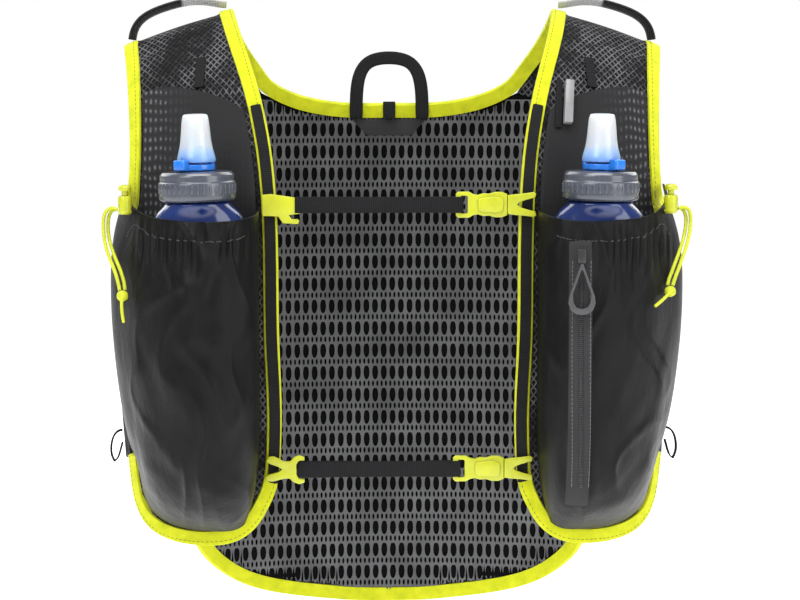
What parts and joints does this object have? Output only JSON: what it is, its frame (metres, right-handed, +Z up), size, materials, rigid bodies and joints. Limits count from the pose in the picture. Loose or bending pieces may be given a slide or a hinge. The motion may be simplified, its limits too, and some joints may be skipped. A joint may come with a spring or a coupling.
{
  "type": "running hydration vest",
  "caption": "Sleeveless mesh running vest with gathered chest pockets holding soft flasks with bite valves, webbing chest straps with side clips, and a hang loop at the neck",
  "frame": {"origin": "Middle plane of the vest at the height of the shoulder crest, where the straps rest on the wearer's shoulders", "axes": "+Z up along the wearer, front of the vest towards -Y, +X towards the wearer's left side"},
  "size_m": [0.3908, 0.2657, 0.4372],
  "materials": {
    "spacer_mesh": "knitted spacer mesh",
    "front_mesh": "diamond mesh over dark lining",
    "nylon": "soft sheen woven nylon",
    "stretch_mesh": "stretch mesh",
    "edge_tape": "folded knit tape with a stitch line",
    "webbing": "ribbed webbing",
    "reflective_tape": "reflective webbing",
    "cord": "braided cord",
    "clip_plastic": "moulded acetal",
    "grey_plastic": "moulded",
    "flask_film": "translucent film",
    "smoke_plastic": "smoky translucent",
    "blue_plastic": "moulded",
    "silicone": "clear soft silicone"
  },
  "bodies": {
    "vest": {"back_panel": "spacer_mesh", "front_panel_left": "front_mesh", "front_panel_right": "front_mesh", "side_panel_left": "nylon", "side_panel_right": "nylon", "neck_binding": "edge_tape", "front_edge_binding_left": "edge_tape", "front_edge_binding_right": "edge_tape", "armhole_binding_left": "edge_tape", "armhole_binding_right": "edge_tape", "back_hem_binding": "edge_tape", "rail_left": "webbing", "rail_right": "webbing", "chest_strap_upper": "webbing", "chest_strap_lower": "webbing", "rail_clip_upper_left": "clip_plastic", "rail_clip_upper_right": "clip_plastic", "rail_clip_lower_left": "clip_plastic", "rail_clip_lower_right": "clip_plastic", "buckle_socket_upper": "clip_plastic", "buckle_socket_lower": "clip_plastic", "pocket_left": "nylon", "pocket_right": "nylon", "stretch_pocket_left": "stretch_mesh", "stretch_pocket_right": "stretch_mesh", "zip_tape": "webbing", "zip_slider": "grey_plastic", "zip_pull": "grey_plastic", "flask_left": "flask_film", "flask_right": "flask_film", "cord_left_a": "cord", "cord_left_b": "cord", "cord_right_a": "cord", "cord_right_b": "cord", "cord_knot_left": "cord", "cord_knot_right": "cord", "cord_lock_left": "clip_plastic", "cord_lock_right": "clip_plastic", "hang_loop": "webbing", "hang_loop_tab": "webbing", "neck_label": "webbing", "shoulder_loop_left": "reflective_tape", "shoulder_loop_right": "reflective_tape", "side_loop_left": "webbing", "side_loop_right": "webbing", "strap_tab_left": "webbing", "strap_tab_right": "webbing", "whistle": "grey_plastic", "whistle_strap": "webbing"},
    "cap_left": {"flask_cap_left": "smoke_plastic", "bite_valve_left": "silicone"},
    "cap_right": {"flask_cap_right": "smoke_plastic", "bite_valve_right": "silicone"},
    "lever_left": {"valve_lever_left": "blue_plastic"},
    "lever_right": {"valve_lever_right": "blue_plastic"},
    "plunger_left": {"cord_lock_plunger_left": "clip_plastic"},
    "plunger_right": {"cord_lock_plunger_right": "clip_plastic"}
  },
  "joints": [
    {"name": "cap_left_turn", "type": "hinge", "parent": "vest", "child": "cap_left", "pos_m": [-0.132, -0.11803, -0.1224], "axis": [-0.0262, 0, 0.9997], "range_deg": [0, 360]},
    {"name": "cap_right_turn", "type": "hinge", "parent": "vest", "child": "cap_right", "pos_m": [0.132, -0.11803, -0.1224], "axis": [0.0175, 0, 0.9998], "range_deg": [0, 360]},
    {"name": "lever_left_turn", "type": "hinge", "parent": "cap_left", "child": "lever_left", "pos_m": [-0.132, -0.11803, -0.1224], "axis": [-0.0262, 0, 0.9997], "range_deg": [0, 90]},
    {"name": "lever_right_turn", "type": "hinge", "parent": "cap_right", "child": "lever_right", "pos_m": [0.132, -0.11803, -0.1224], "axis": [0.0175, 0, 0.9998], "range_deg": [0, 90]},
    {"name": "plunger_left_press", "type": "slide", "parent": "vest", "child": "plunger_left", "axis": [0, 0, -1], "range_m": [0, 0.003], "stiffness_N_per_m": 300, "springref_m": -0.002},
    {"name": "plunger_right_press", "type": "slide", "parent": "vest", "child": "plunger_right", "axis": [0, 0, -1], "range_m": [0, 0.003], "stiffness_N_per_m": 300, "springref_m": -0.002}
  ]
}
